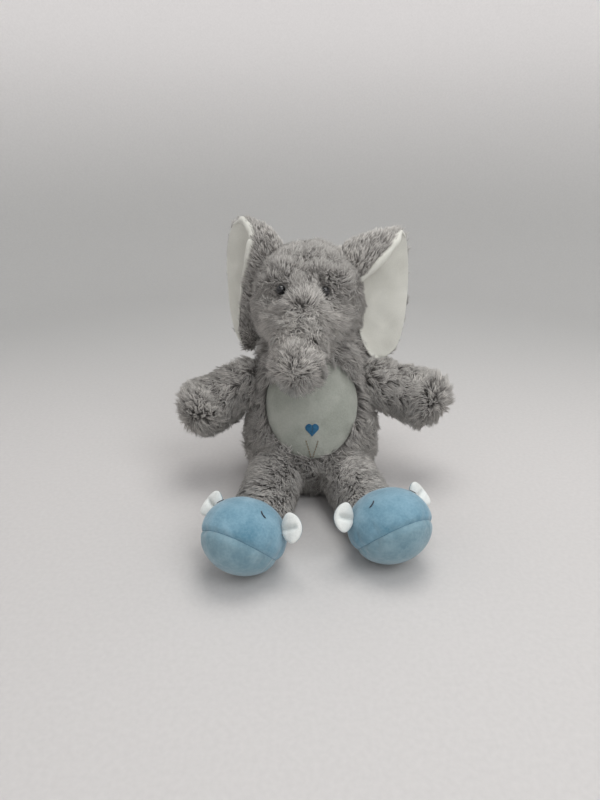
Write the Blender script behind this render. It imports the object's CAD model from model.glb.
"""Stuffed elephant: fabric skins, long pile, slippers, floor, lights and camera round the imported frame.

Shapes are worked out in millimetres, +Z up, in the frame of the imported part, and written in metres.
"""
from math import cos, pi, radians, sin, sqrt

import bpy
import numpy as np
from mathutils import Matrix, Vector


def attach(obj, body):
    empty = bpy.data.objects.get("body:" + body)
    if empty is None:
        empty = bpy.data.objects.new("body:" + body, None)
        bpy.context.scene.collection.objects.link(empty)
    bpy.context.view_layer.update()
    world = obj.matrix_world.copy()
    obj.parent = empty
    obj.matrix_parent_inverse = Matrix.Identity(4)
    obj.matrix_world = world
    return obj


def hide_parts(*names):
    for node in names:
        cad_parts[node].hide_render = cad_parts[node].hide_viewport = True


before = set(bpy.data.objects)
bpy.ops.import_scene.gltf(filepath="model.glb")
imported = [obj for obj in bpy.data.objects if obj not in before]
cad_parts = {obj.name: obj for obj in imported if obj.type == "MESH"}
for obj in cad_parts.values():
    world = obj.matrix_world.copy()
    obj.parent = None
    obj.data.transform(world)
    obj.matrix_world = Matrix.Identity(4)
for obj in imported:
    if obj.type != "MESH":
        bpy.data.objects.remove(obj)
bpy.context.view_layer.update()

MM = 0.001
UP = np.array([0.0, 0.0, 1.0])
SIDES = {"left": 1.0, "right": -1.0}

# --- sizes that the part's source gives, in millimetres and degrees ---
torso_radius, torso_height, collar_radius = 57.0, 101.0, 31.0
torso_lean, belly_height = radians(8.0), 48.0
panel_half_width, panel_half_height, panel_centre = 42.0, 46.0, 37.0
heart_centre, heart_lobe = 18.0, 3.6
string_top, string_length, string_spread = 9.0, 17.0, 5.5
head_radius, head_yaw = 46.0, radians(-8.0)
head_centre = np.array([-3.0, 8.0, 183.0])
muzzle_radius, muzzle_centre = 26.0, np.array([0.0, -34.0, -8.0])
eye_spacing, eye_height = 38.0, 14.0
trunk_radii, trunk_length = (18.0, 16.0), 28.0
trunk_root_pitch, trunk_pitch, trunk_stand_off = radians(25.0), radians(42.0), 8.0
ear_root_angle, ear_root_height, ear_sweep = radians(15.0), -1.0, radians(50.0)
ear_stand_off = 1.0
trunk_set = np.array([2.0, 0.0, 3.0])     # how the loose trunk hangs off its middle line
arm_radii, arm_length, arm_station = (19.0, 20.0), 46.0, 51.0
arm_stand_off, arm_root_forward = 12.0, radians(6.0)
arm_droop = {"left": radians(15.0), "right": radians(25.0)}
arm_forward = {"left": radians(11.0), "right": radians(20.0)}
leg_radii, leg_stand_off, hip_half_spacing, hip_height = (22.0, 18.0), 9.0, 34.0, 24.5
leg_length = {"left": 84.0, "right": 97.0}
leg_splay = {"left": radians(14.0), "right": radians(8.5)}
slipper_half = np.array([32.5, 38.0, 30.0])     # across, towards the toe, above
slipper_toe_up, slipper_turn_out, slipper_ahead = radians(35.0), radians(28.0), 17.0
seam_drop = 6.0
slipper_eye_side, slipper_eye_ahead, slipper_eye_length = 19.0, 16.0, 9.0
flap_angle, flap_stand_off = radians(66.0), 1.2
tail_radii, tail_length, tail_root_drop = (6.0, 4.5), 27.0, radians(19.0)
tail_way, tail_stand_off = np.array([0.55, 0.65, -0.45]), 4.2

# --- fabric and pile ---
pile_inset = 1.5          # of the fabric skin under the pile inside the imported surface
pile_length = 13.0
strand_width = 0.84
floor_gap = 0.4           # lowest that a strand or a stuffed skin may hang
skin_share = 0.35         # of the skin's own direction in the shading of a strand
lay_ripple, length_ripple, wave_ripple, shade_ripple = 19.0, 16.0, 7.0, 30.0    # sizes of changes
shortest_pile = 3.5       # beside an eye
STRANDS = {"torso": 34000, "head": 36000, "trunk": 11000, "ear": 8000, "arm": 11200, "leg": 12000,
           "tail": 2500}
SEEDS = {"ear": {"left": 41, "right": 43}, "arm": {"left": 51, "right": 53},
         "leg": {"left": 61, "right": 63}}
strand_cell = np.array([[0, 1, 4], [0, 4, 3], [1, 2, 5], [1, 5, 4], [2, 0, 3], [2, 3, 5],
                        [3, 4, 6], [4, 5, 6], [5, 3, 6], [0, 2, 1]])
panel_margin = 0.8        # of the belly panel's pad beyond its outline
panel_thickness = 1.6
eye_clear = 6.0           # of the pile round each eye
pad_gap = 0.15            # between the two pads of an ear or a flap, on each side of its sheet

# --- cloth that is stuffed: limit on its movement, and how much larger it is cut ---
torso_stuffing = (2.0, 0.02)
panel_stuffing = (1.0, 0.008)
slipper_stuffing = (1.5, 0.05)

CLOTH = {"quality": 5, "mass": 0.0005, "vertex_group_mass": "pins", "tension_stiffness": 5,
         "compression_stiffness": 5, "shear_stiffness": 3, "bending_stiffness": 0.1,
         "use_pressure": True}

# --- stage and view, in millimetres and then in metres ---
floor_radius, wall_bend, wall_middle, wall_top = 750.0, 400.0, 900.0, 1500.0
toy_middle = Vector((0, -0.03, 0.11))
camera_place, camera_pitch, camera_lens = (-0.011, -0.586, 0.3295), radians(90 - 23), 29.15


# ---------------------------------------------------------------- array helpers
def unit(v):
    """The same directions with length 1."""
    v = np.asarray(v, float)
    return v / np.maximum(np.linalg.norm(v, axis=-1, keepdims=True), 1e-9)


def smooth(low, high, x):
    """0 below low, 1 above high, and an S curve between them."""
    t = np.clip((x - low) / (high - low), 0, 1)
    return t * t * (3 - 2 * t)


def ripple(points, size, seed):
    """Smooth random field with spread 1: the sum of eight sine waves about size long."""
    rng = np.random.default_rng(seed)
    ways = unit(rng.normal(size=(8, 3))) * (2 * pi / size) * rng.uniform(0.6, 1.5, (8, 1))
    phase = rng.uniform(0, 2 * pi, 8)
    return np.sin(points @ ways.T + phase).sum(-1) / 2


def ripple_vector(points, size, seed):
    """Three independent ripples, as a vector at each point."""
    return np.stack([ripple(points, size, seed + i) for i in range(3)], -1)


def through(knots, samples):
    """Catmull-Rom curve through equally spaced knots, read at samples from 0 to 1."""
    knots = np.asarray(knots, float)
    padded = np.concatenate([2 * knots[:1] - knots[1:2], knots, 2 * knots[-1:] - knots[-2:-1]])
    place = np.clip(samples, 0, 1) * (len(knots) - 1)
    i = np.minimum(place.astype(int), len(knots) - 2)
    t = (place - i)[:, None]
    a, b, c, d = padded[i], padded[i + 1], padded[i + 2], padded[i + 3]
    return 0.5 * (2 * b + (c - a) * t + (2 * a - 5 * b + 4 * c - d) * t ** 2
                  + (3 * b - a - 3 * c + d) * t ** 3)


def turned(v, angle):
    """Vectors turned about Z."""
    v = np.asarray(v, float)
    c, s = cos(angle), sin(angle)
    return np.stack([c * v[..., 0] - s * v[..., 1], s * v[..., 0] + c * v[..., 1], v[..., 2]], -1)


def square_pair(way):
    """Two directions square to way and to each other."""
    way = unit(way)
    helper = np.where(np.abs(way[..., 2:3]) < 0.9, UP, np.array([1.0, 0.0, 0.0]))
    first = unit(np.cross(way, helper))
    return first, np.cross(way, first)


def around(count):
    """Angles of equal steps round a circle."""
    return np.linspace(0, 2 * pi, count, endpoint=False)


def bell(points, middle, size):
    """1 at a middle, and exp(-(distance / size)^2) round it."""
    return np.exp(-(np.linalg.norm(points - middle, axis=-1) / size) ** 2)


def round_rings(middles, radius, first, second, sides):
    """Circles round the middles, each of its radius, in the plane of two directions."""
    turn = around(sides)
    circle = np.cos(turn)[:, None] * first[..., None, :] + np.sin(turn)[:, None] * second[..., None, :]
    return middles[..., None, :] + np.asarray(radius)[..., None, None] * circle


# ---------------------------------------------------------------- meshes
def grid_faces(rows, columns, wrap):
    """Quads of a grid of points numbered row by row; the columns close on themselves when asked."""
    i, j = np.meshgrid(np.arange(rows - 1), np.arange(columns if wrap else columns - 1), indexing="ij")
    a = i * columns + j
    b = i * columns + (j + 1) % columns
    return np.stack([a, b, b + columns, a + columns], -1).reshape(-1, 4)


class Skin:
    """Points, quads and triangles of a closed surface, with its normals worked out."""

    def __init__(self, points, quads, triangles):
        self.points, self.quads, self.fans = points, quads, triangles
        split = np.concatenate([quads[:, [0, 1, 2]], quads[:, [0, 2, 3]], triangles])
        a, b, c = (points[split[:, k]] for k in range(3))
        if (a * np.cross(b, c)).sum() < 0:
            self.quads, self.fans, split = quads[:, ::-1], triangles[:, ::-1], split[:, ::-1]
        self.triangles = split
        self.find_normals()

    def find_normals(self):
        """Normal of each point: the sum of the normals of the triangles that meet there."""
        a, b, c = (self.points[self.triangles[:, k]] for k in range(3))
        flat = np.cross(b - a, c - a)
        total = np.zeros_like(self.points)
        for k in range(3):
            np.add.at(total, self.triangles[:, k], flat)
        self.normals = unit(total)

    def moved(self, points):
        """The same surface with its points elsewhere."""
        return Skin(points, self.quads, self.fans)


def capped(rings, first_pole, last_pole):
    """Skin of rings[row, column], closed round each ring and by a point at each end."""
    rows, columns = rings.shape[:2]
    points = np.concatenate([rings.reshape(-1, 3), [first_pole], [last_pole]])
    j = np.arange(columns)
    after = (j + 1) % columns
    base = (rows - 1) * columns
    first = np.stack([after, j, np.full(columns, rows * columns)], -1)
    last = np.stack([base + j, base + after, np.full(columns, rows * columns + 1)], -1)
    return Skin(points, grid_faces(rows, columns, True), np.concatenate([first, last]))


def write_mesh(name, points, *face_sets):
    """Mesh object from points in millimetres and arrays of faces with 3 or 4 corners."""
    mesh = bpy.data.meshes.new(name)
    corners = np.concatenate([faces.ravel() for faces in face_sets]).astype(np.int32)
    totals = np.concatenate([np.full(len(faces), faces.shape[1]) for faces in face_sets])
    starts = np.concatenate([[0], np.cumsum(totals)[:-1]]).astype(np.int32)
    mesh.vertices.add(len(points))
    mesh.vertices.foreach_set("co", (points * MM).astype(np.float32).ravel())
    mesh.loops.add(len(corners))
    mesh.loops.foreach_set("vertex_index", corners)
    mesh.polygons.add(len(totals))
    mesh.polygons.foreach_set("loop_start", starts)
    mesh.update(calc_edges=True)
    mesh.validate()
    mesh.shade_smooth()
    piece = bpy.data.objects.new(name, mesh)
    bpy.context.scene.collection.objects.link(piece)
    return piece


def finish_piece(piece, body, slot, material, *nodes):
    """Gives a piece its body, slot, material and the nodes that it stands for."""
    piece.data.materials.append(material)
    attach(piece, body)
    if nodes:
        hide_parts(*nodes)
    return piece


def skin_piece(name, skin, body, slot, material, *nodes, rounds=1):
    """Piece from a skin, with rounds of subdivision."""
    piece = write_mesh(name, skin.points, skin.quads, skin.fans)
    if rounds:
        finer = piece.modifiers.new("Subdivision", "SUBSURF")
        finer.levels = finer.render_levels = rounds
    return finish_piece(piece, body, slot, material, *nodes)


def padded_piece(name, skin, body, slot, material, node, rounds=1):
    """Piece that stands for a stuffed node."""
    skin_piece(name, skin, body, slot, material, node, rounds=rounds)


def backing_piece(body, skin, rounds=0):
    """Fabric skin under the pile of a body."""
    padded_piece(f"{body}_backing", skin, body, "grey_plush", backing, f"{body}_cover", rounds)


# ---------------------------------------------------------------- materials
def node_material(name, roughness=0.85, sheen=0.0, specular=0.3):
    """New material, its node tree and its shader, with constants set on the shader's own sockets."""
    material = bpy.data.materials.new(name)
    material.use_nodes = True
    tree = material.node_tree
    shader = tree.nodes["Principled BSDF"]
    shader.inputs["Roughness"].default_value = roughness
    shader.inputs["Specular IOR Level"].default_value = specular
    shader.inputs["Sheen Weight"].default_value = sheen
    shader.inputs["Sheen Roughness"].default_value = 0.5
    return material, tree, shader


def add(tree, kind, **values):
    """Node of a kind, with its settings and the values of its inputs."""
    node = tree.nodes.new(kind)
    for key, value in values.items():
        if hasattr(node, key):
            setattr(node, key, value)
        else:
            node.inputs[key.replace("_", " ")].default_value = value
    return node


def ramp(tree, factor, stops):
    """Colour ramp with stops of (place, colour), read at factor."""
    node = tree.nodes.new("ShaderNodeValToRGB")
    elements = node.color_ramp.elements
    while len(elements) < len(stops):
        elements.new(0.5)
    for element, (place, colour) in zip(elements, stops):
        element.position = place
        element.color = (*colour, 1)
    tree.links.new(factor, node.inputs["Fac"])
    return node.outputs["Color"]


def mixed(tree, factor, first, second, blend="MIX"):
    """Mix of two colours, each a socket or a colour."""
    node = tree.nodes.new("ShaderNodeMix")
    node.data_type = "RGBA"
    node.blend_type = blend
    for socket, value in ((node.inputs[0], factor), (node.inputs[6], first), (node.inputs[7], second)):
        if isinstance(value, bpy.types.NodeSocket):
            tree.links.new(value, socket)
        else:
            socket.default_value = value if isinstance(value, float) else (*value, 1)
    return node.outputs[2]


def noise(tree, place, scale, detail=3.0, distortion=0.0):
    """Noise of a scale per metre at a place."""
    node = add(tree, "ShaderNodeTexNoise", Scale=scale, Detail=detail, Distortion=distortion)
    tree.links.new(place, node.inputs["Vector"])
    return node.outputs["Fac"]


def bumped(tree, shader, heights):
    """Bump on the shader from (height socket, strength, distance in metres) layers."""
    normal = None
    for height, strength, distance in heights:
        bump = add(tree, "ShaderNodeBump", Strength=strength, Distance=distance)
        tree.links.new(height, bump.inputs["Height"])
        if normal:
            tree.links.new(normal, bump.inputs["Normal"])
        normal = bump.outputs["Normal"]
    tree.links.new(normal, shader.inputs["Normal"])


def strand_material(name, root, middle, tip):
    """Pile yarn: colour from root to tip, and a shade for each strand, both by the strand's map."""
    material, tree, shader = node_material(name, roughness=0.72, specular=0.25)
    uv = add(tree, "ShaderNodeUVMap", uv_map="OFBake")
    split = tree.nodes.new("ShaderNodeSeparateXYZ")
    tree.links.new(uv.outputs["UV"], split.inputs[0])
    along = ramp(tree, split.outputs["Y"], [(0.0, root), (0.45, middle), (0.85, tip), (1.0, tip)])
    shade = ramp(tree, split.outputs["X"], [(0.0, (0.66, 0.65, 0.64)), (0.5, (0.98, 0.98, 0.98)),
                                             (1.0, (1.42, 1.40, 1.38))])
    tree.links.new(mixed(tree, 1.0, along, shade, "MULTIPLY"), shader.inputs["Base Color"])
    return material


def nap_material(name, low, high, nap=950.0, patch=45.0, sheen=0.35, roughness=0.9, weave=0.0,
                 folds=0.35):
    """Short-napped fabric: a mottle of two colours at two sizes, and a bump of nap and soft hollows."""
    material, tree, shader = node_material(name, roughness, sheen)
    place = tree.nodes.new("ShaderNodeTexCoord").outputs["Object"]
    patches = noise(tree, place, patch, 2.0, 0.6)
    fine = noise(tree, place, nap, 4.0)
    both = add(tree, "ShaderNodeMath", operation="MULTIPLY_ADD")
    tree.links.new(fine, both.inputs[0])
    both.inputs[1].default_value = 0.55
    tree.links.new(patches, both.inputs[2])
    colour = ramp(tree, both.outputs[0], [(0.45, low), (1.05, high)])
    tree.links.new(colour, shader.inputs["Base Color"])
    layers = [(patches, folds, 0.002), (fine, 0.55, 0.0005)]
    if weave:
        threads = add(tree, "ShaderNodeTexWave", Scale=weave, Distortion=1.0)
        tree.links.new(place, threads.inputs["Vector"])
        layers.append((threads.outputs["Fac"], 0.4, 0.0003))
    bumped(tree, shader, layers)
    return material


def plastic_material(name, low, high, roughness, coat=0.0):
    """Moulded plastic: two close colours in soft clouds and a faint orange-peel bump."""
    material, tree, shader = node_material(name, roughness, specular=0.5)
    shader.inputs["Coat Weight"].default_value = coat
    place = tree.nodes.new("ShaderNodeTexCoord").outputs["Object"]
    clouds = noise(tree, place, 180.0, 2.0)
    tree.links.new(ramp(tree, clouds, [(0.35, low), (0.65, high)]), shader.inputs["Base Color"])
    bumped(tree, shader, [(noise(tree, place, 700.0, 2.0), 0.06, 0.0004)])
    return material


pile_tip = (0.56, 0.545, 0.52)
grey_pile = strand_material("grey pile", (0.16, 0.154, 0.146), (0.345, 0.333, 0.317), pile_tip)
ear_pile = strand_material("grey ear pile", (0.30, 0.29, 0.275), (0.44, 0.425, 0.405), pile_tip)
backing = nap_material("grey knitted backing", (0.16, 0.152, 0.143), (0.25, 0.24, 0.227), sheen=0.1)
cream = nap_material("cream short plush", (0.60, 0.60, 0.545), (0.74, 0.74, 0.68),
                     nap=1100.0, patch=38.0)
blue = nap_material("blue velour", (0.105, 0.245, 0.335), (0.235, 0.40, 0.50), nap=520.0, patch=62.0)
blue_sole = nap_material("blue velour sole", (0.13, 0.25, 0.315), (0.25, 0.385, 0.45),
                         nap=460.0, patch=72.0)
belly = nap_material("belly short plush", (0.29, 0.31, 0.27), (0.42, 0.435, 0.39),
                     nap=620.0, patch=44.0, folds=0.8)
white = nap_material("white short plush", (0.66, 0.69, 0.67), (0.82, 0.85, 0.83),
                     nap=1000.0, patch=90.0)
thread = {"nap": 2500.0, "patch": 300.0}
heart_thread = nap_material("blue satin thread", (0.012, 0.085, 0.18), (0.03, 0.16, 0.30),
                            sheen=0.1, roughness=0.45, **thread)
tan_thread = nap_material("tan thread", (0.20, 0.155, 0.10), (0.31, 0.25, 0.175), **thread)
dark_thread = nap_material("dark thread", (0.02, 0.03, 0.045), (0.05, 0.065, 0.09), **thread)
seam_thread = nap_material("blue seam thread", (0.07, 0.17, 0.25), (0.11, 0.24, 0.33), **thread)
eye_black = plastic_material("black eye plastic", (0.004, 0.004, 0.005), (0.010, 0.010, 0.012),
                             0.16, coat=0.25)
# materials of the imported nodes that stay, by a word in the node's name
CARRIED = {
    "stuffing": nap_material("fibre filling", (0.75, 0.75, 0.73), (0.90, 0.90, 0.88),
                             nap=300.0, patch=80.0),
    "tape": nap_material("cotton tape", (0.26, 0.25, 0.235), (0.34, 0.33, 0.31), weave=900.0),
    "bag": nap_material("bag cloth", (0.66, 0.66, 0.62), (0.78, 0.78, 0.74), weave=1200.0),
    "pellets": plastic_material("pellets", (0.68, 0.68, 0.66), (0.84, 0.84, 0.82), 0.5),
    "washer": plastic_material("washer plastic", (0.72, 0.72, 0.69), (0.80, 0.80, 0.77), 0.45),
    "eye_left": eye_black,
    "eye_right": eye_black,
}


# ---------------------------------------------------------------- pile
def scatter(skin, count, rng, density):
    """Random points on a skin, by area times density, with the skin's normals there."""
    corners = skin.points[skin.triangles]
    a, b, c = corners[:, 0], corners[:, 1], corners[:, 2]
    area = np.linalg.norm(np.cross(b - a, c - a), axis=1)
    weight = area * density(corners.mean(1))
    pick = rng.choice(len(area), count, p=weight / weight.sum())
    a, b = rng.random((2, count))
    over = a + b > 1
    a, b = np.where(over, 1 - a, a), np.where(over, 1 - b, b)
    shares = np.stack([1 - a - b, a, b], -1)[..., None]
    roots = (corners[pick] * shares).sum(1)
    normals = unit((skin.normals[skin.triangles[pick]] * shares).sum(1))
    return roots, normals


def nearest(points, seeds):
    """Index of the seed that is nearest to each point, worked out a block of points at a time."""
    found = np.empty(len(points), int)
    square = (seeds ** 2).sum(1)
    for start in range(0, len(points), 2000):
        block = points[start:start + 2000]
        found[start:start + 2000] = np.argmin(square - 2 * block @ seeds.T, axis=1)
    return found


def write_strands(name, body, levels, widths, facing, shade, skin_normals, material, slot):
    """One mesh of strands: each is a three-sided tube from its root to a point, closed at the root.

    levels holds the centre line at the root, at its middle and at its tip. The map gives each
    strand's shade across and the way along it upwards.
    """
    count = len(shade)
    ring = []
    for level, width in zip(levels[:2], widths):
        way = unit(levels[2] - levels[0])
        first = unit(np.cross(way, facing))
        second = np.cross(way, first)
        for turn in (0, 2 * pi / 3, 4 * pi / 3):
            ring.append(level + (first * cos(turn) + second * sin(turn)) * width[:, None] / 2)
    points = np.stack(ring + [levels[2]], 1).reshape(-1, 3)
    points[:, 2] = np.maximum(points[:, 2], floor_gap)
    faces = (strand_cell[None] + 7 * np.arange(count)[:, None, None]).reshape(-1, 3)
    piece = write_mesh(name, points, faces)
    along = np.array([0, 0, 0, 0.5, 0.5, 0.5, 1.0])
    aside = np.array([-0.006, 0, 0.006, -0.006, 0, 0.006, 0])
    u = shade[:, None, None] + aside[strand_cell][None]
    v = np.broadcast_to(0.02 + 0.96 * along[strand_cell], u.shape)
    layer = piece.data.uv_layers.new(name="OFBake")
    layer.uv.foreach_set("vector", np.stack([u, v], -1).astype(np.float32).ravel())
    tube = points.reshape(count, 7, 3) - np.stack([levels[0]] * 3 + [levels[1]] * 3 + [levels[0]], 1)
    tube[:, 6] = tube[:, 3:6].mean(1) + unit(levels[2] - levels[1])
    shading = unit(unit(tube) + skin_normals[:, None, :] * skin_share)
    piece.data.normals_split_custom_set_from_vertices(shading.reshape(-1, 3).astype(np.float32))
    finish_piece(piece, body, slot, material)


def at(value, points):
    """A value, or what it gives at the points when it is a function, as a column."""
    found = value(points) if callable(value) else np.full(len(points), float(value))
    return found[:, None]


def pile(name, body, skin, count, lay, seed, density=lambda p: np.ones(len(p)), length=pile_length,
         lift=0.68, gravity=0.15, clump=0.68, clump_size=14, wander=0.55, width=strand_width,
         material=grey_pile, parts=1, keep=None, tone=0.0, rough=0.36):
    """Strands over a skin; length, lift and tone are numbers or functions of the roots.

    Each strand leaves its root between the normal and the lay, bends towards the lay and down, and
    leans to the strand in the middle of its clump. The lay wanders in slow ripples over the skin.
    """
    rng = np.random.default_rng(seed)
    roots, normals = scatter(skin, count, rng, density)
    if keep is not None:
        chosen = keep(roots)
        roots, normals = roots[chosen], normals[chosen]
    count = len(roots)
    way = lay(roots, normals)
    way = way / np.maximum(np.linalg.norm(way, axis=-1, keepdims=True), 1)
    drift = wander * ripple_vector(roots, lay_ripple, seed + 50) * 0.6
    way = way + drift + rough * rng.normal(size=(count, 3))
    way = unit(way - normals * (way * normals).sum(1, keepdims=True))
    longer = 1 + 0.14 * ripple(roots, length_ripple, seed + 70) + 0.16 * rng.normal(size=count)
    size = np.clip(longer, 0.5, 1.3)[:, None] * at(length, roots)
    lift = at(lift, roots)
    start = unit(normals * lift + way * (1 - lift))
    end = unit(normals * lift * 0.6 + way - UP * gravity)
    middle = roots + size * (0.5 * start + 0.125 * (end - start))
    tip = roots + size * (start + 0.5 * (end - start))

    seeds = rng.choice(count, max(count // clump_size, 1), replace=False)
    owner = seeds[nearest(roots, roots[seeds])]
    pull = clump * rng.uniform(0.5, 1.15, (count, 1))
    middle = middle + (middle[owner] - middle) * pull * 0.45
    tip = tip + (tip[owner] - tip) * pull
    wave = ripple_vector(roots[owner], wave_ripple, seed + 90) * 0.5
    wave = wave + rng.normal(size=(count, 3)) * 0.35
    middle = middle + wave * size * 0.07
    tip = tip + wave[::-1] * size * 0.05

    shade = 0.5 + 0.15 * rng.normal(size=count) + 0.09 * rng.normal(size=count)[owner]
    shade = shade + at(tone, roots)[:, 0] + 0.05 * ripple(roots, shade_ripple, seed + 110)
    shade = np.clip(shade, 0.02, 0.98)
    widths = [np.full(count, width * 0.9), width * rng.uniform(0.8, 1.2, count)]
    facing = unit(normals + 0.4 * rng.normal(size=(count, 3)))
    order = np.argsort(roots[:, 1], kind="stable")
    for k, block in enumerate(np.array_split(order, parts)):
        write_strands(name if parts == 1 else f"{name}_{k + 1}", body,
                      [level[block] for level in (roots, middle, tip)],
                      [width[block] for width in widths],
                      facing[block], shade[block], normals[block], material, "grey_plush")


# ---------------------------------------------------------------- stuffing the skins
def stuffed(jobs, frames=20, pressure=40.0):
    """Blows up loose copies of skins as cloth for some frames and returns their new points.

    A job is (skin, weight that pins each point, cap in mm, fullness): no point moves further than the
    cap, and fullness is how much longer and wider the cloth is cut than the shape it starts from.
    """
    copies = []
    for number, (skin, pins, _, fullness) in enumerate(jobs):
        piece = write_mesh(f"loose_{number}", skin.points, skin.quads, skin.fans)
        group = piece.vertex_groups.new(name="pins")
        for weight in np.unique(np.round(pins, 1)):
            group.add(np.flatnonzero(np.round(pins, 1) == weight).tolist(), float(weight), "REPLACE")
        cloth = piece.modifiers.new("Cloth", "CLOTH")
        for key, value in CLOTH.items():
            setattr(cloth.settings, key, value)
        cloth.settings.shrink_min = -fullness
        cloth.settings.uniform_pressure_force = pressure
        cloth.settings.effector_weights.gravity = 0
        cloth.collision_settings.use_collision = False
        cloth.point_cache.frame_start, cloth.point_cache.frame_end = 1, frames
        copies.append(piece)
    scene = bpy.context.scene
    for number in range(1, frames + 1):
        scene.frame_set(number)
    depsgraph = bpy.context.evaluated_depsgraph_get()
    results = []
    for piece, (skin, _, cap, _) in zip(copies, jobs):
        shape = piece.evaluated_get(depsgraph).to_mesh()
        found = np.empty(3 * len(shape.vertices), np.float32)
        shape.vertices.foreach_get("co", found)
        move = found.reshape(-1, 3) / MM - skin.points
        size = np.linalg.norm(move, axis=1, keepdims=True)
        print(f"stuffed {piece.name}: moved up to {size.max():.1f} mm")
        points = skin.points + move * np.minimum(1, cap / np.maximum(size, 1e-9))
        points[:, 2] = np.maximum(points[:, 2], floor_gap)
        results.append(points)
        piece.evaluated_get(depsgraph).to_mesh_clear()
    for piece in copies:
        bpy.data.objects.remove(piece)
    scene.frame_set(1)
    return results


# ---------------------------------------------------------------- torso
torso_middle = np.array([0.0, 0.0, belly_height])
torso_up = np.array([0.0, sin(torso_lean), cos(torso_lean)])
torso_front = np.array([0.0, -cos(torso_lean), sin(torso_lean)])
torso_side = np.array([1.0, 0.0, 0.0])
narrowing = torso_radius - collar_radius
side_arc = (narrowing ** 2 + torso_height ** 2) / (2 * narrowing)


def torso_reach(station):
    """Torso radius at a height along its axis: a ball below the middle, and a long arc above it."""
    below = np.sqrt(np.maximum(torso_radius ** 2 - station ** 2, 0))
    above = torso_radius - side_arc + np.sqrt(side_arc ** 2 - station ** 2)
    return np.where(station < 0, below, above)


def torso_frame(points):
    """Width, height along the axis and distance in front of the axis, of points."""
    rel = points - torso_middle
    return rel @ torso_side, rel @ torso_up, rel @ torso_front


def torso_form(rows=44, columns=72):
    """Closed torso skin: rings whose radius is the torso's reach less the inset, flat on the seat."""
    low, high = -torso_radius + 1.0, torso_height - 1.0
    station = low + (high - low) * np.linspace(0, 1, rows) ** 1.1
    reach = torso_reach(station) - pile_inset
    closing = np.sqrt(np.maximum(1 - ((station - high + 14) / 15) ** 2, 0.1))
    reach = np.where(station > high - 14, reach * closing, reach)
    rings = round_rings(torso_middle + station[:, None] * torso_up, reach, torso_front, torso_side,
                        columns)
    skin = capped(rings, torso_middle + torso_up * (low - 0.5), torso_middle + torso_up * (high + 0.5))
    skin.points[:, 2] = np.maximum(skin.points[:, 2], pile_inset)
    return skin


def in_torso(width, height, ahead):
    """Points from their width, their height along the torso's axis and their distance ahead of it."""
    return (torso_middle + height[..., None] * torso_up + width[..., None] * torso_side
            + ahead[..., None] * torso_front)


def panel_spread(width, height):
    """0 at the middle of the belly panel, 1 on its outline."""
    return np.sqrt((width / panel_half_width) ** 2 + ((height - panel_centre) / panel_half_height) ** 2)


def panel_lift(spread):
    """How far the bulged panel stands off the torso's own curve."""
    return 0.3 + 1.0 * (1 - np.minimum(spread, 1) ** 2)


def panel_measure(points):
    """Below 1 inside the belly panel's outline, 1 on it; large behind the torso's middle."""
    width, height, ahead = torso_frame(points)
    return np.where(ahead > 0, panel_spread(width, height), 9.0)


def panel_form(rows=20, columns=64):
    """Belly panel: rings of the outline carried on the torso's skin, bulged out in the middle.

    It is closed behind by the same rings pushed in, so it is a thin pad. Also gives the pins that
    hold its edge and its back, and how many of its points are in front.
    """
    spread = np.sin(np.linspace(0.06, 1, rows) * pi / 2)[:, None]
    turn = around(columns)[None]
    width = (panel_half_width + panel_margin) * spread * np.cos(turn)
    height = panel_centre + (panel_half_height + panel_margin) * spread * np.sin(turn)
    ahead = np.sqrt(np.maximum(torso_reach(height) ** 2 - width ** 2, 1))
    pucker = 0.28 * np.sin(31 * turn) * np.exp(-((1 - spread) / 0.10) ** 2)
    base = in_torso(width, height, ahead)
    outward = unit(ahead[..., None] * torso_front + width[..., None] * torso_side)
    front = base + outward * (panel_lift(spread) + pucker)[..., None]
    back = base - outward * panel_thickness
    skin = capped(np.concatenate([front, back[::-1]]), front[0].mean(0), back[0].mean(0))
    pins = np.ones(len(skin.points))
    pins[:(rows - 1) * columns] = 0.0
    pins[-2] = 0.0
    return skin, pins, rows * columns


def on_panel(width, height, lift):
    """Points on the belly panel, lifted off it, from their width and their height along the torso."""
    ahead = np.sqrt(torso_reach(height) ** 2 - width ** 2)
    outward = unit(ahead[..., None] * torso_front + width[..., None] * torso_side)
    lift = lift + panel_lift(panel_spread(width, height))
    return in_torso(width, height, ahead) + outward * lift[..., None]


# ---------------------------------------------------------------- head, trunk and ears
def in_head(v):
    """Points of the head's own frame, in the toy's frame."""
    return head_centre + turned(v, head_yaw)


def from_head(points):
    """Points of the toy's frame, in the head's own frame."""
    return turned(points - head_centre, -head_yaw)


def ball_reach(way, centre, radius):
    """Distance along each direction to the far side of a ball, 0 where it is missed."""
    along = way @ centre
    inside = along ** 2 - centre @ centre + radius ** 2
    return np.where(inside > 0, along + np.sqrt(np.maximum(inside, 0)), 0)


def head_form(rows=48, columns=72):
    """Head skin: in every direction from the middle, the soft maximum of skull and muzzle."""
    polar = np.linspace(0, pi, rows + 2)[1:-1]
    turn = around(columns)
    polar = polar[:, None]
    way = np.stack([np.sin(polar) * np.cos(turn), -np.cos(polar) + 0 * turn,
                    np.sin(polar) * np.sin(turn)], -1)
    poles = np.array([[0.0, -1.0, 0.0], [0.0, 1.0, 0.0]])

    def reach(way):
        skull = head_radius - pile_inset
        snout = ball_reach(way, muzzle_centre, muzzle_radius - pile_inset)
        soft = 3.0
        return soft * np.log(np.exp(skull / soft) + np.exp(snout / soft))

    rings = in_head(way * reach(way)[..., None])
    ends = in_head(poles * reach(poles)[:, None])
    return capped(rings, ends[0], ends[1])


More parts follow.
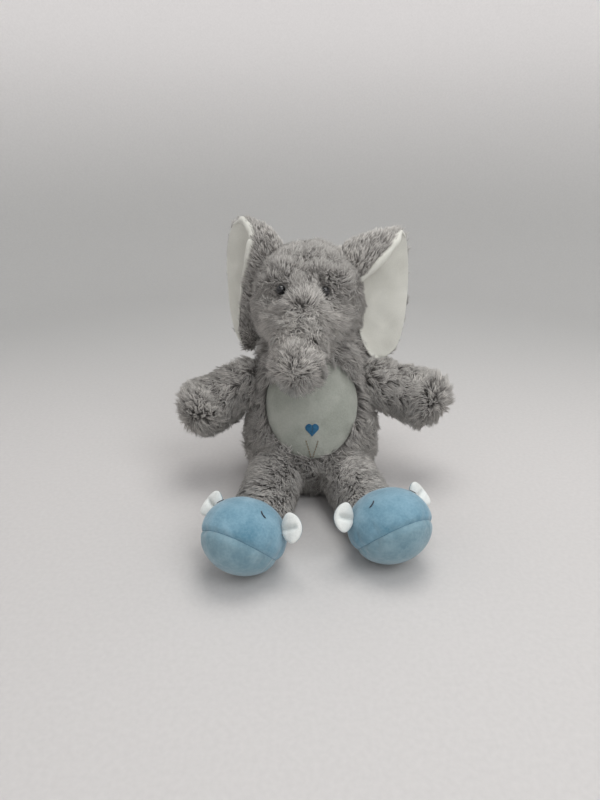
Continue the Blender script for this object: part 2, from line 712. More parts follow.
def capsule_form(start, start_radius, end, end_radius, rows=36, columns=40, bulge=0.0, wobble=0.0,
                 seed=1):
    """Closed round-ended limb: rings square to its axis, with a bulge near the end and slow wobble."""
    axis = end - start
    length = np.linalg.norm(axis)
    axis = axis / length
    total = start_radius + length + end_radius
    place = (1 - np.cos(np.linspace(0.06, pi - 0.06, rows))) / 2 * total - start_radius
    radius = start_radius + (end_radius - start_radius) * smooth(0, length, place)
    radius = radius + bulge * np.exp(-((place - length) / (0.9 * end_radius)) ** 2)
    head = np.where(place < 0, np.sqrt(np.maximum(1 - (place / start_radius) ** 2, 0)), 1)
    foot = np.where(place > length, np.sqrt(np.maximum(1 - ((place - length) / end_radius) ** 2, 0)), 1)
    reach = radius * head * foot
    first, second = square_pair(axis)
    rings = round_rings(start + place[:, None] * axis, reach, first, second, columns)
    skin = capped(rings, start - axis * start_radius * 0.999, end + axis * end_radius * 0.999)
    if wobble:
        out = wobble * ripple(skin.points, 30.0, seed)
        skin = skin.moved(skin.points + skin.normals * out[:, None])
    return skin


def limb_lay(start, end, end_radius, star, along=1.0, burst=1.0, drop=0.0):
    """Lay of a limb: along it, then on its end away from a star's middle, like rays.

    The star's middle lies on the end's ball in the direction star, and strands cross one another
    there. Also gives how much more the strands stand up on the end, and how near its middle is.
    """
    axis = unit(end - start)
    middle = end + unit(star) * end_radius

    def at_end(points):
        return smooth(1.5 * end_radius, 0.9 * end_radius, np.linalg.norm(points - middle, axis=1))

    def star_middle(points):
        return bell(points, middle, 6.0)

    def lay(points, normals):
        rel = points - start
        radial = unit(rel - (rel @ axis)[:, None] * axis)
        near = at_end(points)[:, None]
        away = unit(points - middle) * burst * near - UP * drop
        away = away * (1 - 0.9 * star_middle(points))[:, None]
        return (axis * along + radial * 0.25) * (1 - near) + away

    def raised(points):
        return 0.12 * at_end(points) - 0.06 * star_middle(points)
    return lay, raised, star_middle


def ear_frame(side):
    """Root of an ear, and its outward and frontal directions."""
    sign = SIDES[side]
    reach = head_radius + ear_stand_off
    flat = sqrt(reach ** 2 - ear_root_height ** 2)
    root = np.array([sign * flat * cos(ear_root_angle), flat * sin(ear_root_angle), ear_root_height])
    outward = np.array([sign * cos(ear_sweep), sin(ear_sweep), 0.0])
    frontal = np.array([sign * sin(ear_sweep), -cos(ear_sweep), 0.0])
    return in_head(root), turned(outward, head_yaw), turned(frontal, head_yaw)


# edges and root line of each ear from its bottom to its top: outward, frontal, up from the root
EAR_FRONT_EDGE = {
    "left": [(16, 15, -63), (5, 13, -56), (-4, 9, -36), (-9, 7, -8), (-13, 10, 13),
             (-5, 20, 27), (7, 25.5, 40), (19, 26, 51), (29, 22, 58)],
    "right": [(13, 14, -57), (9, 19, -52), (9, 23, -39), (9, 22, -20), (8, 20, -3),
              (4, 18, 16), (-1, 15, 36), (0, 10, 54), (18, 8, 65)]}
EAR_ROOT_LINE = {
    "left": [(19, 14, -63), (15, 9, -57), (6, 2, -39), (-1, -3, -16), (-4, -5, 3),
             (-9, -7, 20), (-18, -9, 38), (2, 4, 52), (29.5, 20, 58.5)],
    "right": [(15, 11.5, -57), (9, 6, -52), (4, 0, -40), (-1, -4, -20), (-4, -6, 0),
              (-8, -7, 18), (-16, -9, 38), (-2, -4, 57), (22, 3, 65)]}
EAR_REAR_EDGE = {
    "left": [(24, 17, -63), (37, 19, -55), (44, 20, -38), (47.5, 20, -16), (48, 20, 5),
             (47, 20, 22), (44.5, 20, 37), (40, 21, 50), (30.5, 22, 59)],
    "right": [(17, 13, -57), (29, 13, -54), (41, 13, -42), (48, 13, -22), (50, 13, 0),
              (50, 13, 20), (48, 12, 40), (41, 10, 57), (26, 7, 65)]}
EAR_ROLL = {"left": [0.7, 0.7, 0.8, 1.0, 1.6, 2.5, 3.3, 3.6, 2.6],
            "right": [0.7, 0.8, 0.9, 1.1, 1.8, 2.8, 3.7, 4.0, 3.2]}


EAR_COLUMNS = 40


def ear_forms(side, rows=48, columns=EAR_COLUMNS):
    """Cream lining and grey back of an ear: a cup whose upper front edge is rolled over.

    Each row is a quadratic curve from the front edge through the root line to the rear edge. The
    two pads are that sheet thickened to its two sides; the lining is fatter along its rolled edge.
    """
    root, outward, frontal = ear_frame(side)
    axes = np.stack([outward, frontal, UP])
    place = (1 - np.cos(np.linspace(0.04, pi - 0.04, rows))) / 2
    front = through(EAR_FRONT_EDGE[side], place)
    rear = through(EAR_REAR_EDGE[side], place)
    fold = through(EAR_ROOT_LINE[side], place)
    control = 2 * fold - (front + rear) / 2
    spread = ((1 - np.cos(np.linspace(0, 1, columns) * pi)) / 2)[None, :, None]
    sheet = ((1 - spread) ** 2 * front[:, None] + 2 * spread * (1 - spread) * control[:, None]
             + spread ** 2 * rear[:, None])
    sheet = root + sheet @ axes
    inward = unit(np.cross(np.gradient(sheet, axis=1), np.gradient(sheet, axis=0)))
    middle = sheet[rows // 2, columns // 2]
    cup = root + np.array([20.0, 40.0, 0.0]) @ axes
    if (inward[rows // 2, columns // 2] * (cup - middle)).sum() < 0:
        inward = -inward
    s = spread[..., 0]
    ends = np.sqrt(np.maximum(1 - np.abs(2 * place - 1) ** 6, 0.02))[:, None]
    soft = 0.5 * ripple(sheet.reshape(-1, 3), 26.0, 5).reshape(rows, columns)
    edge = np.maximum(1 - np.abs(2 * s - 1) ** 6, 0) ** 0.5
    forms = []
    for depth, way in (((2.6 + soft) * edge * ends, 1.0), (2.4 * edge * ends, -1.0)):
        near = sheet + inward * way * pad_gap
        far = sheet + inward * way * (pad_gap + depth)[..., None]
        rings = np.concatenate([far, near[:, ::-1]], axis=1)
        forms.append(capped(rings, rings[0].mean(0), rings[-1].mean(0)))
    forms.append(ear_roll_form(side, front, rear, root, axes, place))
    return forms


def ear_roll_form(side, front, rear, root, axes, place, sides=14, steps=90):
    """Rolled edge of an ear: a tube up its front edge, over its top and some way down its rear edge.

    The tube's radius swells towards the top, and its surface has soft unevenness.
    """
    radius = through(np.array(EAR_ROLL[side])[:, None], place)[:, 0]
    behind = slice(None, 3 * len(rear) // 4, -1)
    path = np.concatenate([front, rear[behind][1:]])
    width = np.concatenate([radius, radius[-1] * 0.35 ** np.linspace(0, 1, len(rear[behind]) - 1)])
    distance = np.concatenate([[0], np.cumsum(np.linalg.norm(np.diff(path, axis=0), axis=1))])
    even = np.linspace(0, distance[-1], steps)
    path = np.stack([np.interp(even, distance, path[:, k]) for k in range(3)], -1)
    width = np.interp(even, distance, width)
    for _ in range(2):
        path[1:-1] = (path[:-2] + 2 * path[1:-1] + path[2:]) / 4
    path = root + path @ axes
    narrowed = np.minimum(1, np.minimum(even, even[-1] - even) / 3 + 0.3)
    width = width * (1 + 0.12 * ripple(path, 14.0, 8)) * narrowed
    along = unit(np.gradient(path, axis=0))
    first, second = square_pair(along)
    rings = round_rings(path, width, first, second, sides)
    return capped(rings, path[0] - along[0] * 0.5, path[-1] + along[-1] * 0.5)


# ---------------------------------------------------------------- limbs
def arm_points(side):
    """Centres of an arm's root and end."""
    sign = SIDES[side]
    reach = torso_reach(np.array(arm_station)) + arm_stand_off
    root = torso_middle + torso_up * arm_station + torso_side * sign * reach * cos(arm_root_forward)
    root = root + torso_front * reach * sin(arm_root_forward)
    droop, forward = arm_droop[side], arm_forward[side]
    way = np.array([sign * cos(droop) * cos(forward), -cos(droop) * sin(forward), -sin(droop)])
    return root, root + way * arm_length


def leg_points(side):
    """Centres of a leg's root and end."""
    sign = SIDES[side]
    drop = belly_height - hip_height
    deep = sqrt((torso_radius + leg_stand_off) ** 2 - hip_half_spacing ** 2 - drop ** 2)
    root = np.array([sign * hip_half_spacing, -deep, hip_height])
    splay = leg_splay[side]
    return root, root + np.array([sign * sin(splay), -cos(splay), 0.0]) * leg_length[side]


def trunk_points():
    """Centres of the trunk's root and end."""
    way = np.array([0, -cos(trunk_root_pitch), -sin(trunk_root_pitch)])
    root = muzzle_centre + way * (muzzle_radius + trunk_stand_off)
    tip = root + np.array([0, -cos(trunk_pitch), -sin(trunk_pitch)]) * trunk_length
    return in_head(root) + trunk_set, in_head(tip) + trunk_set


def tail_points():
    """Centres of the tail's root and tip."""
    way = np.array([0.0, cos(tail_root_drop), -sin(tail_root_drop)])
    root = torso_middle + way * (torso_radius + tail_stand_off)
    return root, root + unit(tail_way) * tail_length


def ring_tube(points, out, radius, sides=8):
    """Closed loop of tube: rings square to the path through the points, which ends where it starts."""
    columns = len(points)
    along = unit(np.roll(points, -1, 0) - np.roll(points, 1, 0))
    normal = unit(out - along * (out * along).sum(1, keepdims=True))
    beside = np.cross(along, normal)
    rings = round_rings(points, radius, normal, beside, sides)
    faces = grid_faces(columns + 1, sides, True)
    faces = np.where(faces >= columns * sides, faces - columns * sides, faces)
    return Skin(rings.reshape(-1, 3), faces, np.empty((0, 3), int))


# ---------------------------------------------------------------- slippers
class Slipper:
    """Directions, centre and surfaces of one slipper."""

    def __init__(self, side):
        sign = SIDES[side]
        up, out = slipper_toe_up, slipper_turn_out
        self.side, self.sign = side, sign
        self.toe = np.array([sign * sin(out) * cos(up), -cos(out) * cos(up), sin(up)])
        self.across = np.array([cos(out), sign * sin(out), 0.0])
        self.above = np.cross(self.across, self.toe)
        if self.above[2] < 0:
            self.above = -self.above
        self.hip, self.ankle = leg_points(side)
        rest = sqrt((slipper_half[1] * self.toe[2]) ** 2 + (slipper_half[2] * self.above[2]) ** 2)
        ahead = self.toe * slipper_ahead
        self.centre = np.array([self.ankle[0] + ahead[0], self.ankle[1] + ahead[1], rest])
        self.axes = np.stack([self.across, self.toe, self.above])
        self.skin, self.pins, self.seam_row, self.columns = self.form()

    def local(self, points):
        """Points in the slipper's own frame: across, towards the toe, above."""
        return (points - self.centre) @ self.axes.T

    def measure(self, points):
        """Below 1 inside the egg, 1 on it."""
        return np.linalg.norm(self.local(points) / slipper_half, axis=-1)

    def on_egg(self, across, ahead, lift):
        """Points on the upper side of the egg, lifted off it."""
        a, t = across / slipper_half[0], ahead / slipper_half[1]
        above = slipper_half[2] * np.sqrt(np.maximum(1 - a ** 2 - t ** 2, 0))
        rel = np.stack([across, ahead, above], -1)
        normal = unit(rel / slipper_half ** 2)
        return self.centre + (rel + normal * lift) @ self.axes

    def form(self, rows=(22, 18), columns=96, inset=1.0):
        """Egg in rings from its top to its sole; one ring is the seam, pulled in and gathered."""
        turn = around(columns)
        seam = np.arccos((-seam_drop - 7.5 + 13.0 * np.cos(turn / 2) ** 4) / slipper_half[2])
        upper = np.linspace(0.08, 1, rows[0])[:, None] * seam[None]
        lower = seam[None] + np.linspace(0, 0.94, rows[1])[1:, None] * (pi - seam[None])
        polar = np.concatenate([upper, lower])
        way = np.stack([np.sin(polar) * np.sin(turn), np.sin(polar) * np.cos(turn), np.cos(polar)], -1)
        row = np.arange(len(polar))[:, None] - (rows[0] - 1)
        groove = np.exp(-(row / 0.8) ** 2) * 0.5
        gather = np.exp(-(row / 3.5) ** 2) * 0.26 * np.sin(17 * turn + 1.5 * np.sin(3 * turn))[None]
        half = slipper_half - inset
        rel = way * half - unit(way / half) * (groove + gather)[..., None]
        ends = np.array([[0, 0, half[2]], [0, 0, -half[2]]])
        skin = capped(self.centre + rel @ self.axes, *(self.centre + ends @ self.axes))
        pins = np.zeros(len(skin.points))
        seam_row = rows[0] - 1
        pins[seam_row * columns:(seam_row + 1) * columns] = 1.0
        return skin, pins, seam_row, columns

    def cuff(self, columns=64, sides=10, radius=1.5):
        """Rolled hem where the leg's surface goes into the egg, found by halving along the leg."""
        axis = unit(self.ankle - self.hip)
        first, second = square_pair(axis)
        out = round_rings(np.zeros(3), 1.0, first, second, columns)
        length = np.linalg.norm(self.ankle - self.hip)
        low, high = np.zeros(columns), np.full(columns, length + 10.0)
        for _ in range(24):
            place = (low + high) / 2
            reach = leg_radii[0] + (leg_radii[1] - leg_radii[0]) * place / length + 0.6
            points = self.hip + place[:, None] * axis + reach[:, None] * out
            inside = self.measure(points) < 1.0
            low, high = np.where(inside, low, place), np.where(inside, place, high)
        return ring_tube(points, out, np.full(columns, radius), sides)

    def flap_frame(self, direction):
        """Root of an ear flap, and its directions along the root, outward and towards the toe."""
        w = slipper_half[0] * sin(flap_angle) * direction
        n = slipper_half[2] * cos(flap_angle)
        outward = unit(self.across * (w / slipper_half[0] ** 2)
                       + self.above * (n / slipper_half[2] ** 2))
        root = self.centre + self.across * w + self.above * n + outward * flap_stand_off
        along = np.cross(self.toe, outward)
        return root, along, outward, unit(np.cross(along, outward)) * np.sign(
            np.cross(along, outward) @ self.toe)


def flap_forms(root, along, outward, toe, rows=14, columns=32):
    """White front and blue back of an ear flap: two puffed halves of a leaf with a pinched crease.

    The leaf is a disc in rings; its sides curl forward, and a narrow groove runs out from the root.
    """
    spread = np.sin(np.linspace(0.05, 1, rows) * pi / 2)[:, None]
    turn = around(columns)[None]
    across, rise = spread * np.cos(turn), spread * np.sin(turn)
    narrow = 0.80 + 0.20 * smooth(-1, 0.2, rise)
    width, height = 12.0 * across * narrow, 7.8 + 9.0 * rise
    curl = 4.2 * (across * narrow) ** 2 + 1.2 * rise
    groove = np.exp(-(across / 0.16) ** 2) * smooth(0.95, 0.3, rise)
    dome = np.sqrt(np.maximum(1 - spread ** 2, 0))
    sheet = (root + width[..., None] * along + height[..., None] * outward + curl[..., None] * toe)
    forms = []
    for way, puff in ((1.0, 5.2 * dome * (1 - 0.75 * groove)), (-1.0, 3.4 * dome)):
        near = sheet + toe * way * pad_gap
        far = sheet + toe * way * (pad_gap + puff)[..., None]
        rings = np.concatenate([far, near[::-1]])
        forms.append(capped(rings, far[0].mean(0), near[0].mean(0)))
    return forms


# ---------------------------------------------------------------- threads
def thread_tubes(paths, radius, sides=6):
    """Skin of tubes along paths[tube, step], each narrowed to a point at its two ends."""
    steps = paths.shape[1]
    first, second = square_pair(unit(np.gradient(paths, axis=1)))
    taper = np.sqrt(np.maximum(1 - np.abs(np.linspace(-1, 1, steps)) ** 6, 0.05)) * radius
    rings = round_rings(paths, taper, first, second, sides)
    quads, fans, points = [], [], []
    for number, ring in enumerate(rings):
        one = capped(ring, paths[number, 0], paths[number, -1])
        offset = number * len(one.points)
        points.append(one.points)
        quads.append(one.quads + offset)
        fans.append(one.fans + offset)
    return Skin(np.concatenate(points), np.concatenate(quads), np.concatenate(fans))


def heart_threads(rows=30, steps=9):
    """Satin stitches: level threads that fill a heart of two discs over a kite."""
    radius, slant = heart_lobe, heart_lobe * sqrt(0.5)
    height = np.linspace(-2 * slant + 0.25, slant + radius - 0.15, rows)
    kite = np.maximum(2 * slant - np.abs(height), 0)
    lobe = slant + np.sqrt(np.maximum(radius ** 2 - (height - slant) ** 2, 0))
    reach = np.where(height < 0, kite, np.maximum(kite, lobe))
    notch = np.where(height > 2 * slant, slant - (lobe - slant), 0)
    place = np.linspace(0, 1, steps)
    paths = []
    for way in (-1, 1):
        across = way * (notch[:, None] + (reach - notch)[:, None] * place[None])
        lift = 0.25 + 0.55 * np.sin(pi * (0.5 + 0.5 * place[None])) ** 0.5 + 0 * across
        paths.append(on_panel(across, heart_centre + height[:, None] + 0 * across, lift))
    return thread_tubes(np.concatenate(paths), 0.32)


def string_threads(steps=6, stitches=7):
    """Two rows of running stitches that meet at their foot."""
    paths = []
    place = np.linspace(0, 1, steps)
    for way in (-1, 1):
        for number in range(stitches):
            t = (number + 0.06 + 0.80 * place) / stitches
            across = way * (0.7 + (string_spread - 0.7) * t)
            height = string_top - string_length * (1 - t)
            paths.append(on_panel(across, height, 0.25 + 0.35 * np.sin(pi * place)))
    return thread_tubes(np.array(paths), 0.5)


def carried(threads, before, after):
    """Threads moved as the nearest place of a stuffed skin has moved."""
    return threads.moved(threads.points + (after - before)[nearest(threads.points, before)])


# ---------------------------------------------------------------- making the toy
def make_torso(torso, panel_flat, panel):
    """Torso skin and its pile round the belly panel, the panel, the heart and the strings."""
    sunk = (panel_measure(torso.points) < 0.97) * 3.0
    torso = torso.moved(torso.points - torso.normals * sunk[:, None])
    backing_piece("torso", torso)
    padded_piece("belly_cloth", panel, "torso", "cream_plush", belly, "belly_panel")
    before, after = panel_flat.points[:panel_front_count], panel.points[:panel_front_count]
    for name, threads, slot, material, node in (
            ("heart_satin", heart_threads(), "heart_thread", heart_thread, "heart_embroidery"),
            ("belly_strings", string_threads(), "tan_thread", tan_thread, "belly_string_stitches")):
        skin_piece(name, carried(threads, before, after), "torso", slot, material, node, rounds=0)

    def lay(points, normals):
        width, height, _ = torso_frame(points)
        down = -torso_up * 0.75
        aside = torso_side * (width / 45)[:, None] * 0.9
        edge = np.exp(-((panel_measure(points) - 1) / 0.12) ** 2)[:, None]
        away = unit(torso_side * (width / panel_half_width)[:, None]
                    + torso_up * ((height - panel_centre) / panel_half_height)[:, None])
        return down + aside - away * edge * 0.5

    def density(points):
        height = torso_frame(points)[1]
        front = 1 + 0.5 * (points[:, 1] < -5)
        return (panel_measure(points) > 0.98) * (points[:, 2] > 3) * front * (height < 101)

    def size(points):
        width, height, _ = torso_frame(points)
        return pile_length * (1.0 + 0.45 * smooth(55, 90, height) + 0.12 * smooth(10, -30, height)
                              + 0.25 * smooth(30, 52, np.abs(width)) * smooth(30, 10, height))

    pile("torso_pile", "torso", torso, STRANDS["torso"], lay, 11, density, length=size, parts=3,
         lift=0.6, wander=0.85, rough=0.44, keep=lambda p: panel_measure(p) > 1.005)


def make_head():
    """Head skin with its pile, the trunk and the ears."""
    head = head_form()
    backing_piece("head", head)
    trunk_root, trunk_tip = trunk_points()
    eye_ahead = sqrt(head_radius ** 2 - (eye_spacing / 2) ** 2 - eye_height ** 2)
    eyes = [unit(np.array([way * eye_spacing / 2, -eye_ahead, eye_height])) * head_radius
            for way in (-1, 1)]
    muzzle_star = muzzle_centre + muzzle_radius * unit(np.array([0.0, -0.85, 0.5]))

    def on_muzzle(rel):
        return smooth(4.0, -3.0, np.linalg.norm(rel - muzzle_centre, axis=1) - muzzle_radius)

    def in_star(rel):
        return bell(rel, muzzle_star, 6.5)

    def from_eyes(rel):
        return np.min([np.linalg.norm(rel - eye, axis=1) for eye in eyes], axis=0)

    def lay(points, normals):
        rel = from_head(points)
        sign = np.sign(rel[:, 0])
        one = np.ones(len(rel))
        brow = np.maximum(smooth(7, 18, rel[:, 2]), smooth(-6, 14, rel[:, 1]))[:, None]
        outer = smooth(26, 40, np.abs(rel[:, 0]))[:, None]
        upward = np.cross(unit(rel), np.array([1.0, 0.0, 0.0]))
        upward = upward + np.stack([rel[:, 0] * 0.012, 0 * one, 0 * one], -1)
        cheek = np.stack([sign * np.minimum(np.abs(rel[:, 0]) / 10, 1), 0.2 * one, -0.4 * one], -1)
        side = np.stack([sign * 0.25, 0.3 * one, -one], -1)
        whole = upward * brow + (cheek * (1 - outer) + side * outer) * (1 - brow)
        spread = unit(rel - muzzle_star) * (1 - 0.9 * in_star(rel))[:, None]
        share = on_muzzle(rel)[:, None]
        whole = whole * (1 - share) + spread * share * 1.5
        for eye in eyes:
            whole = whole + unit(rel - eye) * 4.0 * bell(rel, eye, 12.0)[:, None]
        return turned(whole, head_yaw)

    def density(points):
        rel = from_head(points)
        root = np.linalg.norm(points - trunk_root, axis=1) > trunk_radii[0] - 6
        front = 1 + 0.9 * (rel[:, 1] < 0)
        return (from_eyes(rel) > eye_clear) * root * front * (1 + 0.8 * in_star(rel))

    def size(points):
        rel = from_head(points)
        low = smooth(10, -5, rel[:, 2]) * (rel[:, 1] < 0)
        full = pile_length * (0.94 + 0.34 * low + 0.34 * on_muzzle(rel))
        return np.minimum(full, np.maximum(1.1 * from_eyes(rel) - 4.6, shortest_pile))

    def raised(points):
        return 0.60 + 0.18 * on_muzzle(from_head(points))

    def lighter(points):
        rel = from_head(points)
        brow = (rel[:, 1] < 0) * smooth(4, 12, rel[:, 2]) * smooth(44, 34, rel[:, 2])
        bridge = bell(rel, np.array([0.0, -44.0, 16.0]), 11.0)
        return 0.22 * on_muzzle(rel) * smooth(10, -2, rel[:, 2]) - 0.20 * brow - 0.22 * bridge

    pile("head_pile", "head", head, STRANDS["head"], lay, 21, density, length=size, parts=3,
         lift=raised, tone=lighter, rough=0.46, wander=0.7)

    trunk = limb_skin("trunk", trunk_root, trunk_tip, trunk_radii, 0.8, wobble=0.4, seed=3)
    star = unit(trunk_tip - trunk_root) + np.array([0.0, -0.5, 0.45])
    trunk_lay, trunk_raised, trunk_star = limb_lay(trunk_root, trunk_tip, trunk_radii[1], star,
                                                   0.5, 1.3, 0.1)

    def off_muzzle(points):
        clear = np.linalg.norm(from_head(points) - muzzle_centre, axis=1) > muzzle_radius - 4
        return clear * (1 + trunk_star(points))

    pile("trunk_pile", "trunk", trunk, STRANDS["trunk"], trunk_lay, 31, off_muzzle,
         length=pile_length * 1.12, lift=lambda p: 0.66 + trunk_raised(p), gravity=0.18, tone=0.20)

    for side in SIDES:
        lining, back, roll = ear_forms(side)
        body = f"ear_{side}"
        skin_piece(f"ear_{side}_lining", lining, body, "cream_plush", cream, f"ear_{side}_front")
        skin_piece(f"ear_{side}_shell", back, body, "grey_plush", backing, f"ear_{side}_back")
        skin_piece(f"ear_{side}_rolled_edge", roll, body, "cream_plush", cream)
        outward = ear_frame(side)[1]
        outer = np.zeros(len(back.points), bool)
        column = np.arange(len(back.points) - 2) % (2 * EAR_COLUMNS)
        outer[:-2] = (column > 3) & (column < EAR_COLUMNS - 2)

        def far_side(points, back=back, outer=outer):
            return outer[nearest(points, back.points)].astype(float) + 1e-9

        def lay(points, normals, outward=outward):
            return UP * 0.8 + outward * 0.7

        pile(f"ear_{side}_pile", body, back, STRANDS["ear"], lay, SEEDS["ear"][side], far_side,
             length=7.0, lift=0.5, gravity=0.0, clump=0.4, width=0.65, wander=0.25,
             material=ear_pile, rough=0.3)


def make_limbs(slippers, slipper_points):
    """Arms, legs, tail and slippers."""
    for side in SIDES:
        start, end = arm_points(side)
        body = f"arm_{side}"
        arm = limb_skin(body, start, end, arm_radii, 0.7, bulge=2.0, wobble=0.5, seed=7)
        star = unit(end - start) + np.array([0.0, -0.9, 0.15])
        arm_lay, arm_raised, arm_star = limb_lay(start, end, arm_radii[1], star, 0.6, 1.5, 0.15)
        pile(f"{body}_pile", body, arm, STRANDS["arm"], arm_lay, SEEDS["arm"][side],
             lambda p, arm_star=arm_star: torso_clear(p, 0.94) * (1 + 1.2 * arm_star(p)),
             length=lambda p, arm_raised=arm_raised: pile_length * (1.0 + 0.8 * arm_raised(p)),
             lift=lambda p, arm_raised=arm_raised: 0.64 + arm_raised(p),
             tone=lambda p, arm_raised=arm_raised: 0.04 + 0.6 * arm_raised(p))

        slipper = slippers[side]
        start, end = leg_points(side)
        body = f"leg_{side}"
        leg = limb_skin(body, start, end, leg_radii, 0.7, wobble=0.4, seed=9)

        def leg_lay(points, normals, start=start, end=end, sign=SIDES[side]):
            return unit(end - start) * 0.55 + np.array([sign * 0.5, 0.0, -0.35])

        def leg_density(points, slipper=slipper):
            return (slipper.measure(points) > 1.0) * torso_clear(points, 0.95) * (points[:, 2] > 3.0)

        pile(f"{body}_pile", body, leg, STRANDS["leg"], leg_lay, SEEDS["leg"][side], leg_density,
             length=pile_length * 0.88, lift=0.55, clump=0.45, clump_size=10, wander=0.4, rough=0.3)
        make_slipper(slipper, slipper.skin.moved(slipper_points[side]))

    start, end = tail_points()
    tail = capsule_form(start, tail_radii[0] - 1, end, tail_radii[1] - 1, rows=20, columns=20)
    backing_piece("tail", tail, rounds=1)
    tail_lay, _, _ = limb_lay(start, end, tail_radii[1], end - start, 1.2, 0.3, 0.1)
    pile("tail_pile", "tail", tail, STRANDS["tail"], tail_lay, 71, length=6.5, lift=0.35)


def limb_skin(body, start, end, radii, fill, **form):
    """Backing of a trunk, arm or leg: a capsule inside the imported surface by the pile's inset."""
    skin = capsule_form(start, radii[0] - pile_inset, end, radii[1] - pile_inset, **form)
    backing_piece(body, skin)
    return skin


def torso_clear(points, share):
    """1 where points are outside the torso's surface made smaller by share, else 0."""
    width, height, ahead = torso_frame(points)
    reach = torso_reach(np.clip(height, -torso_radius, torso_height))
    return (np.hypot(width, ahead) > share * reach).astype(float)


def make_slipper(slipper, skin):
    """Upper, sole, seam stitches, cuff, stitched eyes and ear flaps of one slipper."""
    side, seam_row, columns = slipper.side, slipper.seam_row, slipper.columns
    body = f"leg_{side}"
    rings = skin.points[:-2].reshape(-1, columns, 3)
    seam = rings[seam_row]
    outward = unit(slipper.local(seam) / slipper_half ** 2) @ slipper.axes
    tuck = seam - outward * 1.2
    hold = seam - outward * 0.1
    upper_rings = np.concatenate([rings[:seam_row + 1], hold[None], tuck[None]])
    sole_rings = np.concatenate([tuck[None], hold[None], rings[seam_row:]])
    upper = capped(upper_rings, skin.points[-2], tuck.mean(0))
    sole = capped(sole_rings, tuck.mean(0), skin.points[-1])
    padded_piece(f"slipper_{side}_top", upper, body, "slipper_blue", blue,
                 f"slipper_{side}_upper")
    padded_piece(f"slipper_{side}_underside", sole, body, "slipper_sole", blue_sole,
                 f"slipper_{side}_sole")
    skin_piece(f"slipper_{side}_cuff", slipper.cuff(), body, "slipper_blue", blue)
    stitch = 0.38 + 0.14 * np.sin(48 * around(columns))
    skin_piece(f"slipper_{side}_seam_thread", ring_tube(seam - outward * 0.25, outward, stitch), body,
               "slipper_blue", seam_thread, rounds=0)

    place = np.linspace(-0.5, 0.5, 9)
    paths = []
    for way in (-1, 1):
        for row in (-0.2, 0.2):
            ahead = slipper_eye_ahead + row + 1.2 * (1 - 4 * place ** 2)
            across = way * slipper_eye_side + 0.6 * slipper_eye_length * place
            paths.append(slipper.on_egg(across, ahead, -0.5))
    stitches = carried(thread_tubes(np.array(paths), 0.34), slipper.skin.points, skin.points)
    skin_piece(f"slipper_{side}_stitched_eyes", stitches, body, "dark_thread", dark_thread,
               f"slipper_{side}_eyes", rounds=0)

    for edge, direction in (("outer", slipper.sign), ("inner", -slipper.sign)):
        name = f"slipper_{side}_ear_{edge}"
        root, along, outward, toe = slipper.flap_frame(direction)
        if edge == "outer":
            outward = unit(outward - 0.30 * toe)
            toe = unit(toe - outward * (toe @ outward))
            root = root - toe * 3.0
        front, back = flap_forms(root, along, outward, toe)
        skin_piece(f"{name}_white", front, name, "slipper_white", white, f"{name}_front")
        skin_piece(f"{name}_blue", back, name, "slipper_blue", blue, f"{name}_back")


def make_stage():
    """Pale floor that runs up into a round wall, as one turned surface, open at the top."""
    bend = np.linspace(0, pi / 2, 12)
    curve = np.stack([floor_radius + wall_bend * np.sin(bend[1:]),
                      wall_bend - wall_bend * np.cos(bend[1:])], -1)
    wall = floor_radius + wall_bend
    profile = np.concatenate([[[0.001, 0.0], [400.0, 0.0], [floor_radius, 0.0]], curve,
                              [[wall, wall_middle], [wall, wall_top]]])
    turn = around(96)
    rings = np.stack([profile[:, None, 0] * np.cos(turn), profile[:, None, 0] * np.sin(turn),
                      profile[:, None, 1] + 0 * turn], -1)
    faces = grid_faces(len(profile), len(turn), True)
    floor = write_mesh("pale_floor", rings.reshape(-1, 3), faces)
    material, tree, shader = node_material("pale paper", roughness=0.95, specular=0.1)
    place = tree.nodes.new("ShaderNodeTexCoord").outputs["Object"]
    grain = noise(tree, place, 260.0, 4.0)
    split = tree.nodes.new("ShaderNodeSeparateXYZ")
    tree.links.new(place, split.inputs[0])
    paper = (0.66, 0.645, 0.635)
    for axis, low, high, colour in (("Y", -0.05, 0.55, (0.54, 0.54, 0.53)),
                                    ("Z", 0.10, 0.60, (0.95, 0.93, 0.925))):
        share = add(tree, "ShaderNodeMapRange", interpolation_type="SMOOTHSTEP",
                    From_Min=low, From_Max=high)
        tree.links.new(split.outputs[axis], share.inputs["Value"])
        paper = mixed(tree, share.outputs[0], paper, colour)
    mottle = ramp(tree, grain, [(0.3, (0.95, 0.95, 0.95)), (0.7, (1.0, 1.0, 1.0))])
    tree.links.new(mixed(tree, 1.0, paper, mottle, "MULTIPLY"), shader.inputs["Base Color"])
    bumped(tree, shader, [(grain, 0.08, 0.0006)])
    floor.data.materials.append(material)


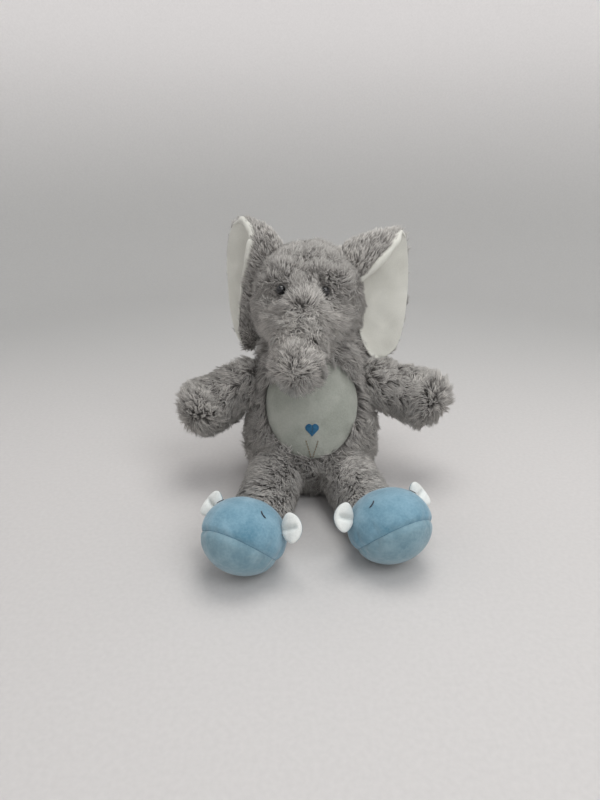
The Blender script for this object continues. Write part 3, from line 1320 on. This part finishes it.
def area_light(name, place, size, energy, colour=(1, 1, 1)):
    """Square light that shines on the toy's middle."""
    data = bpy.data.lights.new(name, "AREA")
    data.size, data.energy, data.color = size, energy, colour
    light = bpy.data.objects.new(name, data)
    bpy.context.scene.collection.objects.link(light)
    light.location = Vector(place)
    light.rotation_euler = (toy_middle - light.location).to_track_quat("-Z", "Y").to_euler()


def make_light_and_camera():
    """Large soft light from above, a weak one from the front, a pale world, and the camera."""
    area_light("overhead", (0.12, 0.05, 1.25), 0.7, 6.5, (1.0, 0.985, 0.96))
    area_light("front", (0.50, -0.75, 1.05), 0.7, 4.4, (0.98, 0.99, 1.0))
    world = bpy.data.worlds.new("pale room")
    world.use_nodes = True
    world.node_tree.nodes["Background"].inputs["Color"].default_value = (0.92, 0.95, 1.0, 1)
    world.node_tree.nodes["Background"].inputs["Strength"].default_value = 0.40
    bpy.context.scene.world = world
    data = bpy.data.cameras.new("camera")
    data.lens, data.sensor_width, data.clip_start = camera_lens, 36.0, 0.01
    camera = bpy.data.objects.new("camera", data)
    bpy.context.scene.collection.objects.link(camera)
    camera.location = camera_place
    camera.rotation_euler = (camera_pitch, 0, 0)
    bpy.context.scene.camera = camera
    bpy.context.scene.view_settings.view_transform = "Standard"


def dress_carried_nodes():
    """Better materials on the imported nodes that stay."""
    for name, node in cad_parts.items():
        material = next((kept for word, kept in CARRIED.items() if word in name), None)
        if material is None:
            continue
        if not node.material_slots:
            node.data.materials.append(material)
        for slot in node.material_slots:
            slot.material = material


make_stage()
make_light_and_camera()
torso_loose = torso_form()
panel_loose, panel_pins, panel_front_count = panel_form()
slippers = {side: Slipper(side) for side in SIDES}
blown = stuffed([(torso_loose, np.zeros(len(torso_loose.points)), *torso_stuffing),
                 (panel_loose, panel_pins, *panel_stuffing)]
                + [(slipper.skin, slipper.pins, *slipper_stuffing) for slipper in slippers.values()])
make_torso(torso_loose.moved(blown[0]), panel_loose, panel_loose.moved(blown[1]))
make_head()
make_limbs(slippers, dict(zip(SIDES, blown[2:])))
dress_carried_nodes()
